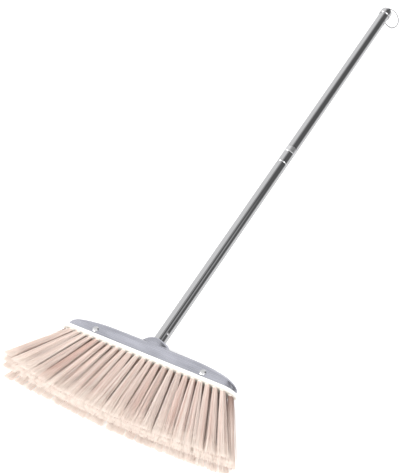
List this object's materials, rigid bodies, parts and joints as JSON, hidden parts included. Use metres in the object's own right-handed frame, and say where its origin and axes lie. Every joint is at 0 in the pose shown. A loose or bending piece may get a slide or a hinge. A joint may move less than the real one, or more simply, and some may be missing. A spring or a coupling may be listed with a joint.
{
  "type": "push broom",
  "caption": "Floor broom with a wide flared bristle head under a pressed metal cover, a two-part screwed steel tube handle and a hanging ring.",
  "frame": {"origin": "middle of the bounding box at its lowest level, where the broom lies on its back on the floor", "axes": "+Y up the handle from the bristles to the end cap, +X along the head, +Z out of the front face of the head, which faces up"},
  "size_m": [0.514, 1.2194, 0.055],
  "materials": {
    "polished_tube": "polished steel tube",
    "chrome_cap": "bright chrome",
    "satin_cover": "satin pressed sheet",
    "white_plastic": "moulded white plastic",
    "bristle": "pink-beige synthetic filament",
    "bright_rivet": "bright steel",
    "ring_wire": "bright wire",
    "grey_plastic": "dark grey moulded plastic"
  },
  "bodies": {
    "head_and_lower_handle": {"cover": "satin_cover", "brush_block": "white_plastic", "bristle_row_front": "bristle", "bristle_row_second": "bristle", "bristle_row_third": "bristle", "bristle_row_back": "bristle", "cover_rivet_left": "bright_rivet", "cover_rivet_right": "bright_rivet", "rivet_washer_left": "bright_rivet", "rivet_washer_right": "bright_rivet", "neck_spigot": "grey_plastic", "neck_screw": "bright_rivet", "lower_tube": "polished_tube", "joint_socket": "grey_plastic"},
    "joint_ring": {"joint_ring": "chrome_cap"},
    "upper_handle": {"joint_plug": "grey_plastic", "upper_tube": "polished_tube", "end_cap": "chrome_cap", "cap_pin": "bright_rivet"},
    "hanging_ring": {"hanging_ring": "ring_wire"}
  },
  "joints": [
    {"name": "handle_unscrew", "type": "hinge", "parent": "head_and_lower_handle", "child": "joint_ring", "pos_m": [0, 0.09033, 0.0345], "axis": [0, -1, 0], "range_deg": [0, 4320]},
    {"name": "handle_draw_out", "type": "slide", "parent": "joint_ring", "child": "upper_handle", "axis": [0, 1, 0], "range_m": [0, 0.036]},
    {"name": "ring_swing", "type": "hinge", "parent": "upper_handle", "child": "hanging_ring", "pos_m": [0, 0.59962, 0.0345], "axis": [0.6428, 0, 0.766], "range_deg": [-46, 266]}
  ],
  "couplings": [
    {"joint": "handle_draw_out", "follows": "handle_unscrew", "m_per_rad": 0.00047746}
  ]
}
